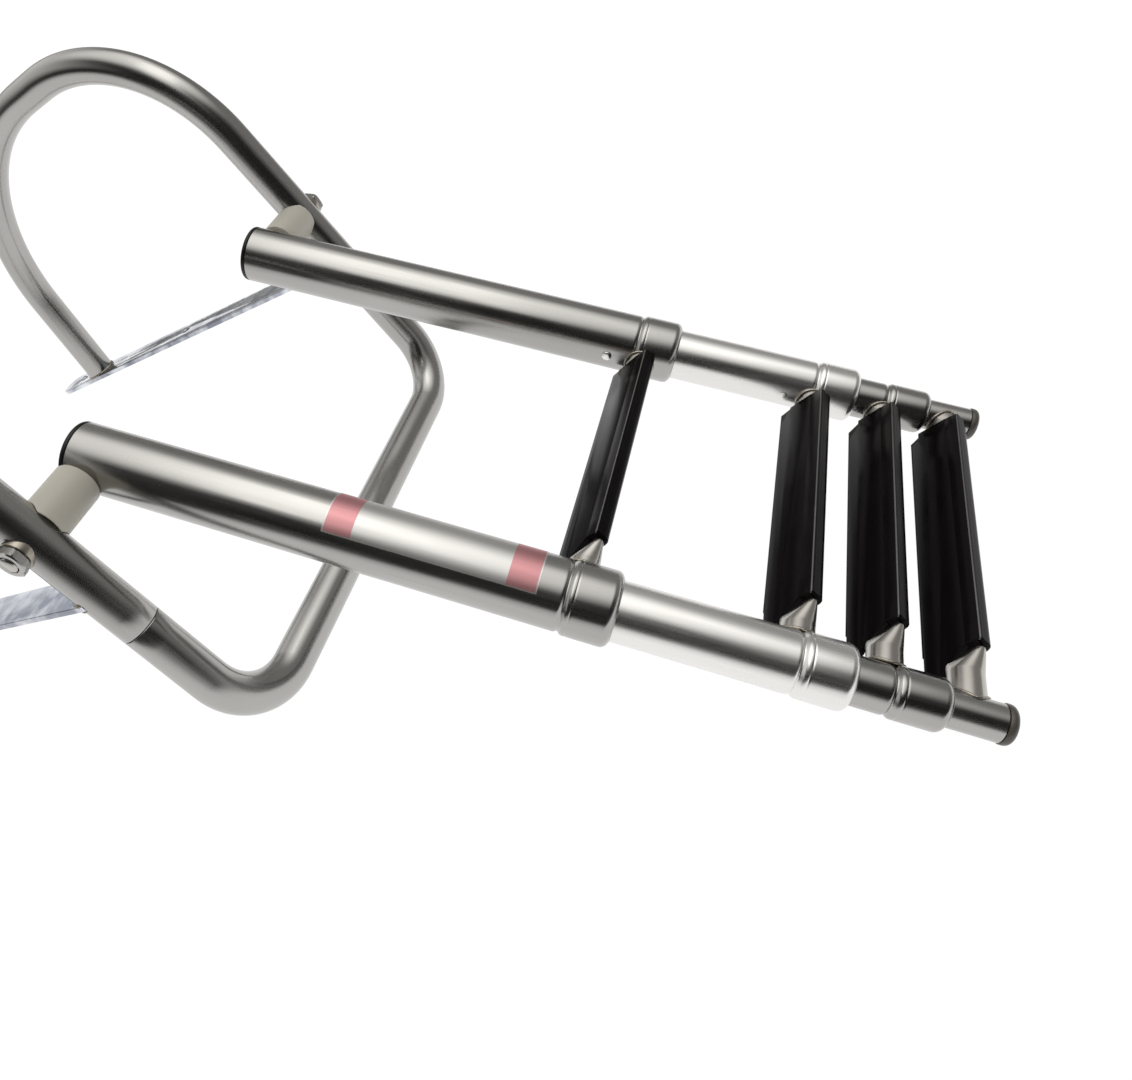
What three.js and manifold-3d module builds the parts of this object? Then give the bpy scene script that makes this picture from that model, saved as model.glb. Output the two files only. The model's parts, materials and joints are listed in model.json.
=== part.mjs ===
// A telescoping boat boarding ladder on its handrail frame, lying on a floor.
//
// Millimetres, +Z up, +X to the right-hand side along the rungs, +Y towards the lower end of the ladder.
// The frame group is drawn in the plates' own plane: x across, y outboard along the plates, z off them.
// The ladder group is drawn round the pivot: x along the rungs, y down the rails, z off their plane.
import * as THREE from 'three';
import { mergeVertices } from 'three/addons/utils/BufferGeometryUtils.js';
import Module from 'manifold-3d';

const wasm = await Module();
wasm.setup();

// ---------------------------------------------------------------- driving dimensions
const GAP = 0.3; // between touching pieces
const SLIDING = 0.35; // radial play of a sliding fit

// Frame tubes
const TUBE_R = 12.7;
const TUBE_WALL = 1.5;
const HALF_TRACK = 170; // from the middle plane to each side's tube centre
const LEG_TILT = 8; // of the legs off the plates' normal, in degrees
const PIVOT_UP_LEG = 42; // from the plate's top to the pivot, along the leg
const CROSS_BAR_DOWN_LEG = 168; // from the pivot to the cross bar
const CORNER_R = 43; // bend of the legs into the cross bar
const SEAM_DOWN_LEG = 74; // from the pivot to the butt joint of the two tubes
const SEAM_GAP = 0.4;
const SLEEVE_HALF = 22; // joint sleeve, inside the tubes
const SLEEVE_WALL = 1.2;
const LOOP = { rise: 73, outboardR: 122, outboardBend: 82, flat: 24, inboardR: 153, inboardBend: 84.2 };

// Deck plates
const PLATE = { width: 26, thickness: 4, overhang: 58, holeR: 3.6, cornerR: 11 };
const PLATE_HOLES = [30, 190]; // bolt holes, inboard end to centre

// Ladder rails, largest section first
const RAIL_X = 109.3; // from the middle plane to each rail's centre
const RAIL_R = [19.05, 15.9, 12.4, 9.4];
const RAIL_WALL = [1.2, 1.2, 1.0, 1.2];
const RAIL_TOP = [-9, 108, 151, 194]; // tube ends, down from the pivot
const GROOVE_AT = [269, 383, 426.5]; // start of each collar, down from the pivot
const LAST_RAIL_END = 477;
const COLLAR = {
  length: 26, swell: 0.8, grooveDepth: 0.9, grooveHalf: 2.5, shoulderR: 4.5, shoulderDeg: 72, lip: 1.6,
};
const SLIDER = { length: 20, setBack: 1 };
const END_CAP = { rimR: 9.9, length: 5, roundR: 3, plug: 12 };
const TOP_CAP = { rim: 3.2, skirt: 3.4, skirtWall: 1, roundR: 1.4 };

// Rungs and treads
const RUNG_AT = [273.5, 383, 425, 463];
const RUNG_R = 8.5;
const RUNG_WALL = 1.2;
// The flattened stretch sits off centre. It nearly reaches the left rail, and ends in a long cone on
// the right.
const RUNG_FLAT = { halfThickness: 2.8, halfHeight: 11.9, offset: 0.6, right: 74.5 };
const RUNG_LEFT = [-88, -91, -94.5, -98]; // the left end of the flattened stretch
const RUNG_FLARE = { left: 4, right: 13.5 };
const TREAD_LEAN = 29; // of the step face off the rails' normal, in degrees
const TREAD = {
  front: 6.4, back: -4.5, wall: 1.4, top: -13.8, bottom: 18.4, play: 0.3, chamfer: 1, ridgeChamfer: 1.4,
};
const TREAD_LIPS = [-4, 9]; // how far each lip of the wrap reaches behind the rung
// The step face is longer than its wrap, and the last one, between the thinnest rails, is the longest.
const WING_HALF = [88.3, 88.3, 88.3, 91.5];
const WING_CORNER = [9.5, 9.5, 8, 2]; // cut off the lower corners, along x
const WING_CORNER_RISE = [6, 6, 6, 2];
const WING = { top: 10.5, topCorner: 3 };

// Pivot hardware
const BOLT_R = 5;
const BOLT_HOLE_R = 5.4;
const BOLT_HEAD = { r: 8.5, thickness: 5, inset: 8.2 };
const SPACER = { r: 13.6, saddle: 7 }; // saddles stop this far short of the tube's centre
const WASHER = { r: 9.5, thickness: 1.2, saddle: 7 };
const NUT = { acrossFlats: 17, thickness: 5.5, threadPast: 1 };
const RIVET = { r: 2, headR: 3.2, headHeight: 1.1, holeR: 2.3, uphill: 17 };

const ROUND = 20; // facets round rails
const TUBE_SIDES = 14; // facets round frame tubes
const RUNG_SIDES = 16;
const BORE_SIDES = 10;
const BEND_STEP = 12; // degrees of bend per facet
const CORNER_STEPS = 5; // facets round a plate's corner
const FLARE_STEPS = 4; // from a rung's flat to its round end
const THROUGH = 80; // a cutter's length, past both sides of what it cuts
const CLEAR = 5; // a hole's overrun past a wall
const LAST = RAIL_R.length - 1;

// ---------------------------------------------------------------- finishes
const finish = (color, roughness, metalness) =>
  new THREE.MeshStandardMaterial({ color, roughness, metalness });
const polishedSteel = () => finish(0xc9c6bf, 0.28, 1);
const mirrorSteel = () => finish(0xc4c8cf, 0.12, 1);
const blackPlastic = () => finish(0x0d0b0d, 0.25, 0);
const capPlastic = () => finish(0x151515, 0.5, 0);
const nylon = () => finish(0xcfcbbf, 0.5, 0);

// ---------------------------------------------------------------- solid helpers
const rad = THREE.MathUtils.degToRad;

function toSolid(geometry) {
  const bare = geometry.index ? geometry.toNonIndexed() : geometry.clone();
  for (const name of ['normal', 'uv']) bare.deleteAttribute(name);
  const welded = mergeVertices(bare, 1e-4);
  const vertProperties = new Float32Array(welded.attributes.position.array);
  const triVerts = new Uint32Array(welded.index.array);
  const solid = new wasm.Manifold(new wasm.Mesh({ numProp: 3, vertProperties, triVerts }));
  if (solid.volume() > 0) return solid;
  for (let i = 0; i < triVerts.length; i += 3) {
    [triVerts[i], triVerts[i + 1]] = [triVerts[i + 1], triVerts[i]];
  }
  return new wasm.Manifold(new wasm.Mesh({ numProp: 3, vertProperties, triVerts }));
}

function toGeometry(solid) {
  const mesh = solid.getMesh();
  const geometry = new THREE.BufferGeometry();
  geometry.setAttribute('position', new THREE.BufferAttribute(new Float32Array(mesh.vertProperties), 3));
  geometry.setIndex(new THREE.BufferAttribute(new Uint32Array(mesh.triVerts), 1));
  const flat = geometry.toNonIndexed();
  flat.computeVertexNormals();
  return flat;
}

const cut = (solid, ...tools) => tools.reduce((rest, tool) => rest.subtract(tool), solid);
const join = (solid, ...others) => others.reduce((all, other) => all.add(other), solid);

function regularPolygon(radius, sides, turn = 0.5) {
  return Array.from({ length: sides }, (_, i) => {
    const angle = (2 * Math.PI * (i + turn)) / sides;
    return new THREE.Vector2(radius * Math.cos(angle), radius * Math.sin(angle));
  });
}

/** A closed profile of [radius, along] pairs, turned round the Y axis. */
function turned(profile, sides = ROUND) {
  const points = [...profile, profile[0]].map(([r, along]) => new THREE.Vector2(r, along));
  return toSolid(new THREE.LatheGeometry(points, sides));
}

/** A tube along the Y axis. */
function ring(inner, outer, from, to, sides = ROUND) {
  return turned([[inner, from], [outer, from], [outer, to], [inner, to]], sides);
}

/** A round bar from x = from to x = to. */
function barAlongX(radius, from, to, sides = ROUND) {
  const bar = new THREE.CylinderGeometry(radius, radius, Math.abs(to - from), sides);
  return toSolid(bar.rotateZ(Math.PI / 2).translate((from + to) / 2, 0, 0));
}

/** The arc of a rounded corner as [radius, along] pairs, from one angle to another. */
function cornerArc(centreR, centreAlong, radius, fromDeg, toDeg, steps = 3) {
  return Array.from({ length: steps + 1 }, (_, i) => {
    const angle = rad(fromDeg + ((toDeg - fromDeg) * i) / steps);
    return [centreR + radius * Math.cos(angle), centreAlong + radius * Math.sin(angle)];
  });
}

/** Extrudes a 2D outline through a thickness in its own +Z, from z = from to z = to. */
function slab(points, from, to, holes = []) {
  const shape = new THREE.Shape(points);
  shape.holes = holes.map((hole) => new THREE.Path(hole));
  const geometry = new THREE.ExtrudeGeometry(shape, { depth: to - from, bevelEnabled: false, steps: 1 });
  return geometry.translate(0, 0, from);
}

// ---------------------------------------------------------------- bent tubes
/** A tube bender's route in one plane, with a station at each end of a straight and round each bend. */
class BentRoute extends THREE.Curve {
  constructor(start, headingDeg, moves, place) {
    super();
    let [u, v] = start;
    let heading = rad(headingDeg);
    this.stations = [];
    const mark = () => {
      const tangent = place(u + Math.cos(heading), v + Math.sin(heading)).sub(place(u, v)).normalize();
      this.stations.push({ point: place(u, v), tangent });
    };
    mark();
    for (const { straight, radius, bend } of moves) {
      if (straight) {
        u += straight * Math.cos(heading);
        v += straight * Math.sin(heading);
        mark();
        continue;
      }
      const side = Math.sign(bend);
      const [cu, cv] = [u - side * radius * Math.sin(heading), v + side * radius * Math.cos(heading)];
      const count = Math.ceil(Math.abs(bend) / BEND_STEP);
      for (let i = 0; i < count; i += 1) {
        heading += rad(bend) / count;
        u = cu + side * radius * Math.sin(heading);
        v = cv - side * radius * Math.cos(heading);
        mark();
      }
    }
    this.end = { u, v, heading };
  }

  station(t) {
    return this.stations[Math.round(t * (this.stations.length - 1))];
  }

  getPointAt(t) {
    return this.station(t).point.clone();
  }

  getTangentAt(t) {
    return this.station(t).tangent.clone();
  }
}

function bentTube(route, outerR, wall) {
  const section = new THREE.Shape(regularPolygon(outerR, TUBE_SIDES));
  section.holes = [new THREE.Path(regularPolygon(outerR - wall, BORE_SIDES))];
  const steps = route.stations.length - 1;
  return toSolid(new THREE.ExtrudeGeometry(section, { steps, extrudePath: route, bevelEnabled: false }));
}

// ---------------------------------------------------------------- the frame, in the plates' plane
// The leg's centre line crosses the plate's top at the origin.
const legUp = new THREE.Vector2(-Math.sin(rad(LEG_TILT)), Math.cos(rad(LEG_TILT)));
const alongLeg = (up) => [legUp.x * up, legUp.y * up];
const pivotInFrame = alongLeg(PIVOT_UP_LEG);
const crossBar = alongLeg(PIVOT_UP_LEG - CROSS_BAR_DOWN_LEG);

const sidePlane = (u, v) => new THREE.Vector3(0, u, v);
const loopMoves = [
  { straight: SEAM_DOWN_LEG - SEAM_GAP / 2 + LOOP.rise },
  { radius: LOOP.outboardR, bend: LOOP.outboardBend },
  { straight: LOOP.flat },
  { radius: LOOP.inboardR, bend: LOOP.inboardBend },
];
const seamInFrame = alongLeg(PIVOT_UP_LEG - SEAM_DOWN_LEG + SEAM_GAP / 2);
const loopTop = new BentRoute(seamInFrame, 90 + LEG_TILT, loopMoves, sidePlane);
// The last straight runs down through the plate's top, where it is mitred.
const riserLength = loopTop.end.v / -Math.sin(loopTop.end.heading);
const footU = loopTop.end.u + riserLength * Math.cos(loopTop.end.heading);
const plateStart = footU - PLATE.overhang;

// On the floor the frame rests on the plates' inboard ends and the cross bar. That sets the plates'
// slope.
function slopeOnFloor() {
  const [du, dv] = [crossBar[0] - plateStart, crossBar[1] + PLATE.thickness];
  return -Math.atan2(dv, du) + Math.asin(TUBE_R / Math.hypot(du, dv));
}
const plateSlope = slopeOnFloor();
const heightOf = ([u, v]) =>
  (u - plateStart) * Math.sin(plateSlope) + (v + PLATE.thickness) * Math.cos(plateSlope);
const pivotHeight = heightOf(pivotInFrame);

// The step face leans back from the rails' normal. In its section, s runs down the face from the rung's
// centre and n stands off it, towards the foot.
const faceDown = new THREE.Vector3(0, -Math.sin(rad(TREAD_LEAN)), -Math.cos(rad(TREAD_LEAN)));
const faceOut = new THREE.Vector3(0, -Math.cos(rad(TREAD_LEAN)), Math.sin(rad(TREAD_LEAN)));
const faceFrame = new THREE.Matrix4().makeBasis(new THREE.Vector3(1, 0, 0), faceDown, faceOut);
const treadPoint = (s, n) => new THREE.Vector3(0, s, n).applyMatrix4(faceFrame);

// The ladder leans from the pivot down to the floor, on the last tread's lower edge or on the end caps.
function slopeToRest(along, below) {
  return Math.asin(pivotHeight / Math.hypot(along, below)) - Math.atan2(below, along);
}
const lastTreadEdges = [
  treadPoint(TREAD.bottom, TREAD.back + TREAD.chamfer),
  treadPoint(TREAD.bottom - TREAD.chamfer, TREAD.back),
];
const ladderSlope = Math.min(
  slopeToRest(LAST_RAIL_END + END_CAP.length - END_CAP.roundR, END_CAP.rimR),
  ...lastTreadEdges.map((edge) => slopeToRest(RUNG_AT[LAST] + edge.y, -edge.z)),
);

// ---------------------------------------------------------------- frame pieces
function makeHandrail() {
  const moves = [...loopMoves, { straight: riserLength + TUBE_R }];
  const tube = bentTube(new BentRoute(seamInFrame, 90 + LEG_TILT, moves, sidePlane), TUBE_R, TUBE_WALL);
  const block = new THREE.BoxGeometry(THROUGH, THROUGH, THROUGH);
  const belowPlate = toSolid(block.translate(0, footU, GAP - THROUGH / 2));
  const bore = barAlongX(BOLT_HOLE_R, -THROUGH / 2, THROUGH / 2, BORE_SIDES);
  const boltHole = bore.translate([0, ...pivotInFrame]);
  return cut(tube, belowPlate, boltHole);
}

function makeLowerTube() {
  // Drawn in the legs' plane: u down the leg from the seam, v across.
  const start = [SEAM_DOWN_LEG + SEAM_GAP / 2, HALF_TRACK];
  const legStraight = CROSS_BAR_DOWN_LEG - CORNER_R - start[0];
  const moves = [
    { straight: legStraight },
    { radius: CORNER_R, bend: -90 },
    { straight: 2 * (HALF_TRACK - CORNER_R) },
    { radius: CORNER_R, bend: -90 },
    { straight: legStraight },
  ];
  const legPlane = (down, across) => new THREE.Vector3(across, ...alongLeg(PIVOT_UP_LEG - down));
  return bentTube(new BentRoute(start, 0, moves, legPlane), TUBE_R, TUBE_WALL);
}

function makeJointSleeve() {
  const outer = (TUBE_R - TUBE_WALL) * Math.cos(Math.PI / BORE_SIDES) - GAP;
  const [half, inner] = [SLEEVE_HALF, outer - SLEEVE_WALL];
  const sleeve = ring(inner, outer, -half, half, BORE_SIDES);
  return sleeve.rotate([90 + LEG_TILT, 0, 0]).translate([0, ...alongLeg(PIVOT_UP_LEG - SEAM_DOWN_LEG)]);
}

function makeDeckPlate() {
  const { width, thickness, holeR, cornerR } = PLATE;
  const half = width / 2;
  const arc = (fromDeg, toDeg, cx, cy) =>
    Array.from({ length: CORNER_STEPS + 1 }, (_, i) => {
      const angle = rad(fromDeg + ((toDeg - fromDeg) * i) / CORNER_STEPS);
      return new THREE.Vector2(cx + cornerR * Math.cos(angle), cy + cornerR * Math.sin(angle));
    });
  const outline = [
    new THREE.Vector2(half, 0),
    new THREE.Vector2(-half, 0),
    ...arc(180, 270, cornerR - half, plateStart + cornerR),
    ...arc(270, 360, half - cornerR, plateStart + cornerR),
  ];
  const holes = PLATE_HOLES.map((at) =>
    regularPolygon(holeR, ROUND / 2).map((p) => p.add(new THREE.Vector2(0, plateStart + at))),
  );
  const plate = toSolid(slab(outline, -thickness, 0, holes));
  return cut(plate, legCutter());
}

/** The leg tube's own room, leaning as the leg does. */
function legCutter() {
  const leg = new THREE.CylinderGeometry(TUBE_R + GAP, TUBE_R + GAP, THROUGH, ROUND);
  return toSolid(leg.rotateX(Math.PI / 2 + rad(LEG_TILT)));
}

/** Room for a rail of a given radius, along the Y axis at x = across. */
const railCutter = (radius, across) =>
  toSolid(new THREE.CylinderGeometry(radius, radius, THROUGH, ROUND).translate(across, 0, 0));

function makePivotBolt() {
  const start = RAIL_X + BOLT_HEAD.inset;
  const shankEnd = HALF_TRACK + TUBE_R + WASHER.thickness + NUT.thickness + NUT.threadPast;
  const headEnd = start + BOLT_HEAD.thickness;
  const head = barAlongX(BOLT_HEAD.r, start, headEnd);
  const shank = barAlongX(BOLT_R, (start + headEnd) / 2, shankEnd);
  return join(head, shank);
}

function makePivotWasher() {
  // Hollowed to sit on the tube, flat under the nut.
  const inner = HALF_TRACK + WASHER.saddle;
  const outer = HALF_TRACK + TUBE_R + WASHER.thickness - GAP;
  const bore = barAlongX(BOLT_HOLE_R, inner - CLEAR, outer + CLEAR, BORE_SIDES);
  return cut(barAlongX(WASHER.r, inner, outer), bore, legCutter().translate([HALF_TRACK, 0, 0]));
}

/** A spacer saddled on the leg, with a flat end for the rail to turn against. */
function makeSpacer() {
  const body = barAlongX(SPACER.r, RAIL_X + RAIL_R[0] + GAP, HALF_TRACK - SPACER.saddle);
  const bore = barAlongX(BOLT_HOLE_R, RAIL_X, HALF_TRACK, BORE_SIDES);
  return cut(body, bore, legCutter().translate([HALF_TRACK, 0, 0]));
}

function makePivotNut() {
  const face = HALF_TRACK + TUBE_R + WASHER.thickness;
  const hex = regularPolygon(NUT.acrossFlats / 2 / Math.cos(Math.PI / 6), 6);
  const nut = slab(hex, 0, NUT.thickness, [regularPolygon(BOLT_HOLE_R, BORE_SIDES)]);
  return toSolid(nut.rotateY(Math.PI / 2).translate(face, 0, 0));
}

// ---------------------------------------------------------------- ladder pieces
/** Where the collar of section n ends, with the sections counted from 0. */
const collarEnd = (n) => GROOVE_AT[n] + COLLAR.length;

/** A rail with a groove and a rounded collar at its lower end, closed in to the next section's tube. */
function makeRail(n) {
  const outer = RAIL_R[n];
  const inner = outer - RAIL_WALL[n];
  if (n === LAST) return ring(inner, outer, RAIL_TOP[n], LAST_RAIL_END);
  const groove = GROOVE_AT[n];
  const end = collarEnd(n);
  const swollen = outer + COLLAR.swell;
  const { grooveDepth, grooveHalf, shoulderR, shoulderDeg, lip } = COLLAR;
  const throat = RAIL_R[n + 1] + SLIDING;
  const profile = [
    [inner, RAIL_TOP[n]],
    [outer, RAIL_TOP[n]],
    [outer, groove - grooveHalf],
    [outer - grooveDepth, groove],
    [swollen, groove + grooveHalf],
    ...cornerArc(swollen - shoulderR, end - shoulderR, shoulderR, 0, shoulderDeg),
    [throat, end],
    [throat, end - lip],
    [inner, end - lip],
  ];
  const rail = turned(profile);
  if (n > 0) return rail;
  const rivetHole = barAlongX(RIVET.holeR, -outer - CLEAR, 0, BORE_SIDES);
  const boltHole = barAlongX(BOLT_HOLE_R, 0, outer + CLEAR, BORE_SIDES);
  return cut(rail, rivetHole.translate([0, groove - RIVET.uphill, 0]), boltHole);
}

/** The nylon ring inside a collar that the next section's tube slides through. */
function makeGuideBushing(n) {
  const outer = RAIL_R[n] - RAIL_WALL[n] - GAP;
  const inner = RAIL_R[n + 1] + SLIDING;
  const [from, to] = [GROOVE_AT[n], collarEnd(n) - COLLAR.lip - GAP];
  return ring(inner, outer, from, to);
}

/** The nylon sleeve round the top of a sliding tube. */
function makeTopSlider(n) {
  const outer = RAIL_R[n - 1] - RAIL_WALL[n - 1] - SLIDING;
  const inner = RAIL_R[n] + GAP;
  const from = RAIL_TOP[n] + SLIDER.setBack;
  return ring(inner, outer, from, from + SLIDER.length);
}

/** A rivet through the first section's wall, with a low domed head on its inboard side. */
function makeRivet() {
  const { r, headR, headHeight } = RIVET;
  const surface = RAIL_R[0] + GAP;
  const shankEnd = RAIL_R[0] - RAIL_WALL[0] + GAP;
  const domeAt = (angle) => [headR * Math.cos(angle), surface + headHeight * Math.sin(angle)];
  const section = [
    [0, shankEnd], [r, shankEnd], [r, surface], [headR, surface],
    domeAt(rad(30)), domeAt(rad(60)), [0, surface + headHeight],
  ];
  return turned(section, BORE_SIDES).rotate([0, 0, 90]).translate([0, GROOVE_AT[0] - RIVET.uphill, 0]);
}

/** A lid with a thin rounded rim over the tube's top end, and a skirt inside it. */
function makeTopCap() {
  const bore = RAIL_R[0] - RAIL_WALL[0] - GAP;
  const { rim, skirt, skirtWall, roundR } = TOP_CAP;
  const top = RAIL_TOP[0] - rim;
  return turned([
    [0, top],
    [RAIL_R[0] - roundR, top],
    [RAIL_R[0], top + roundR],
    [RAIL_R[0], RAIL_TOP[0] - GAP],
    [bore, RAIL_TOP[0] - GAP],
    [bore, RAIL_TOP[0] + skirt],
    [bore - skirtWall, RAIL_TOP[0] + skirt],
    [bore - skirtWall, RAIL_TOP[0]],
    [0, RAIL_TOP[0]],
  ]);
}

/** The rounded plug in the lower end of the last tube. */
function makeEndCap() {
  const bore = RAIL_R[LAST] - RAIL_WALL[LAST] - GAP;
  const { rimR, length, roundR, plug } = END_CAP;
  const face = LAST_RAIL_END + GAP;
  return turned([
    [0, face - plug],
    [bore, face - plug],
    [bore, face],
    [rimR, face],
    ...cornerArc(rimR - roundR, LAST_RAIL_END + length - roundR, roundR, 0, 90),
    [0, LAST_RAIL_END + length],
  ]);
}

/** The rung's section at a distance x from the middle: flattened under the tread, round at the rails. */
function rungSection(x, inset, sides, n) {
  const past = Math.max((RUNG_LEFT[n] - x) / RUNG_FLARE.left, (x - RUNG_FLAT.right) / RUNG_FLARE.right);
  const flat = 1 - THREE.MathUtils.smoothstep(past, 0, 1);
  const thick = THREE.MathUtils.lerp(RUNG_R, RUNG_FLAT.halfThickness, flat) - inset;
  const straight = (RUNG_FLAT.halfHeight - RUNG_FLAT.halfThickness) * flat;
  return Array.from({ length: sides }, (_, i) => {
    const angle = (2 * Math.PI * (i + 0.5)) / sides;
    const s = thick * Math.sin(angle) + Math.sign(Math.sin(angle)) * straight + RUNG_FLAT.offset * flat;
    return new THREE.Vector3(x, s, thick * Math.cos(angle));
  });
}

/** Joins a row of equal-sided sections into one closed skin. */
function loft(sections) {
  const sides = sections[0].length;
  const points = sections.flat();
  const first = points.push(centreOf(sections[0])) - 1;
  const last = points.push(centreOf(sections.at(-1))) - 1;
  const index = [];
  for (let k = 0; k + 1 < sections.length; k += 1) {
    for (let i = 0; i < sides; i += 1) {
      const [a, b] = [k * sides + i, k * sides + ((i + 1) % sides)];
      index.push(a, b, b + sides, a, b + sides, a + sides);
    }
  }
  const top = (sections.length - 1) * sides;
  for (let i = 0; i < sides; i += 1) {
    const next = (i + 1) % sides;
    index.push(first, next, i, last, top + i, top + next);
  }
  return toSolid(new THREE.BufferGeometry().setFromPoints(points).setIndex(index));
}

function centreOf(points) {
  const sum = new THREE.Vector3();
  for (const point of points) sum.add(point);
  return sum.divideScalar(points.length);
}

function rungSkin(n, inset, halfLength, sides) {
  const steps = Array.from({ length: FLARE_STEPS + 1 }, (_, i) => i / FLARE_STEPS);
  const onLeft = steps.map((t) => RUNG_LEFT[n] - RUNG_FLARE.left * t).reverse();
  const onRight = steps.map((t) => RUNG_FLAT.right + RUNG_FLARE.right * t);
  const stations = [-halfLength, ...onLeft, ...onRight, halfLength];
  return loft(stations.map((x) => rungSection(x, inset, sides, n)));
}

const onFace = (solid) => toSolid(toGeometry(solid).applyMatrix4(faceFrame));

/** A rung with its ends fitted round section n's rails. */
function makeRung(n) {
  const skin = rungSkin(n, 0, RAIL_X, RUNG_SIDES);
  const hollow = rungSkin(n, RUNG_WALL, RAIL_X + CLEAR, BORE_SIDES);
  const reach = RAIL_R[n] + (n < LAST ? COLLAR.swell : 0) + GAP;
  return cut(onFace(cut(skin, hollow)), railCutter(reach, RAIL_X), railCutter(reach, -RAIL_X));
}

/** The plastic step: a face with chamfered wings, and a wrap round both edges of the flattened rung. */
function makeTread(n) {
  const { front, back, wall, top, bottom, play, chamfer, ridgeChamfer: edge } = TREAD;
  const slot = RUNG_FLAT.halfThickness + play;
  const slotBottom = RUNG_FLAT.offset + RUNG_FLAT.halfHeight + play;
  const [upperLip, lowerLip] = TREAD_LIPS;
  const slotTop = top + wall + play;
  const wrap = [
    [top, front - edge], [top + edge, front], [bottom - edge, front], [bottom, front - edge],
    [bottom, back + chamfer], [bottom - chamfer, back], [lowerLip, back], [lowerLip, back + wall],
    [slotBottom, back + wall], [slotBottom, slot], [slotTop, slot], [slotTop, back + wall],
    [upperLip, back + wall], [upperLip, back], [top + chamfer, back], [top, back + chamfer],
  ].map(([s, n]) => new THREE.Vector2(s, n));
  // The wrap's section is drawn in (s, n) and runs along x.
  const left = RUNG_LEFT[n];
  const clip = slab(wrap, left, RUNG_FLAT.right);
  clip.applyMatrix4(new THREE.Matrix4().makeBasis(
    new THREE.Vector3(0, 1, 0), new THREE.Vector3(0, 0, 1), new THREE.Vector3(1, 0, 0)));
  const wingBottom = bottom - edge;
  const half = WING_HALF[n];
  const cornerTop = wingBottom - WING_CORNER_RISE[n];
  const notchTop = Math.min(cornerTop, slotBottom);
  const outline = [
    [RUNG_FLAT.right, top + edge], [half - WING.topCorner, WING.top - WING.topCorner], [half, WING.top],
    [half, cornerTop], [half - WING_CORNER[n], wingBottom], [WING_CORNER[n] - half, wingBottom],
    [-half, notchTop], [left, notchTop], [left, top + edge],
  ];
  const face = slab(outline.map(([x, s]) => new THREE.Vector2(x, s)), slot, front);
  const aroundRung = rungSkin(n, -play, RAIL_X, RUNG_SIDES);
  // Below the rung, the left end stops at the wing.
  const notch = new THREE.BoxGeometry(THROUGH, THROUGH, THROUGH);
  notch.translate(-half - THROUGH / 2, notchTop + THROUGH / 2, 0);
  return onFace(cut(join(toSolid(clip), toSolid(face)), aroundRung, toSolid(notch)));
}

// ---------------------------------------------------------------- assembly
const root = new THREE.Group();
const frame = new THREE.Group();
const ladder = new THREE.Group();
root.add(frame, ladder);

function place(group, name, solid, material, position = [0, 0, 0], turn = 0) {
  const mesh = new THREE.Mesh(toGeometry(solid), material);
  mesh.name = name;
  mesh.position.set(...position);
  mesh.rotation.y = turn;
  group.add(mesh);
}

/** Adds a piece drawn on the right-hand side, and its twin turned half round the Y axis. */
function placePair(group, name, solid, material, position = [0, 0, 0]) {
  const [x, y, z] = position;
  place(group, `${name}_right`, solid, material(), [x, y, z]);
  place(group, `${name}_left`, solid, material(), [-x, y, z], Math.PI);
}

for (const [side, x] of [['right', HALF_TRACK], ['left', -HALF_TRACK]]) {
  place(frame, `handrail_${side}`, makeHandrail(), polishedSteel(), [x, 0, 0]);
  place(frame, `joint_sleeve_${side}`, makeJointSleeve(), polishedSteel(), [x, 0, 0]);
  place(frame, `deck_plate_${side}`, makeDeckPlate(), mirrorSteel(), [x, 0, 0]);
}
place(frame, 'lower_u_tube', makeLowerTube(), polishedSteel());

// The hinge fasteners are drawn round the pivot with the leg along Z, leaning as the legs do.
const fasteners = new THREE.Group();
fasteners.position.set(0, ...pivotInFrame);
frame.add(fasteners);
for (const [side, turn] of [['right', 0], ['left', Math.PI]]) {
  place(fasteners, `pivot_bolt_${side}`, makePivotBolt(), polishedSteel(), [0, 0, 0], turn);
  const sided = (solid) => (side === 'right' ? solid : solid.mirror([1, 0, 0]));
  place(fasteners, `pivot_spacer_${side}`, sided(makeSpacer()), nylon());
  place(fasteners, `pivot_washer_${side}`, sided(makePivotWasher()), polishedSteel());
  place(fasteners, `pivot_nut_${side}`, makePivotNut(), polishedSteel(), [0, 0, 0], turn);
}

placePair(ladder, 'top_cap', makeTopCap(), capPlastic, [RAIL_X, 0, 0]);
for (let n = 0; n <= LAST; n += 1) {
  const label = n + 1;
  placePair(ladder, `rail_${label}`, makeRail(n), polishedSteel, [RAIL_X, 0, 0]);
  place(ladder, `rung_${label}`, makeRung(n), polishedSteel(), [0, RUNG_AT[n], 0]);
  place(ladder, `tread_${label}`, makeTread(n), blackPlastic(), [0, RUNG_AT[n], 0]);
  if (n < LAST) placePair(ladder, `guide_bushing_${label}`, makeGuideBushing(n), nylon, [RAIL_X, 0, 0]);
  if (n > 0) placePair(ladder, `top_slider_${label}`, makeTopSlider(n), nylon, [RAIL_X, 0, 0]);
}
placePair(ladder, 'bushing_rivet', makeRivet(), polishedSteel, [RAIL_X, 0, 0]);
placePair(ladder, 'end_cap', makeEndCap(), capPlastic, [RAIL_X, 0, 0]);

frame.rotation.x = plateSlope;
ladder.rotation.x = -ladderSlope;
const pivotAhead = pivotInFrame[0] * Math.cos(plateSlope) - pivotInFrame[1] * Math.sin(plateSlope);
const pivotAbove = pivotInFrame[0] * Math.sin(plateSlope) + pivotInFrame[1] * Math.cos(plateSlope);
ladder.position.set(0, pivotAhead, pivotAbove);

// The origin is under the middle of the whole object, on the floor.
root.updateMatrixWorld(true);
const extent = new THREE.Box3().setFromObject(root, true);
const middle = extent.getCenter(new THREE.Vector3());
root.position.set(-middle.x, -middle.y, -extent.min.z);

export default root;
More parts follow.
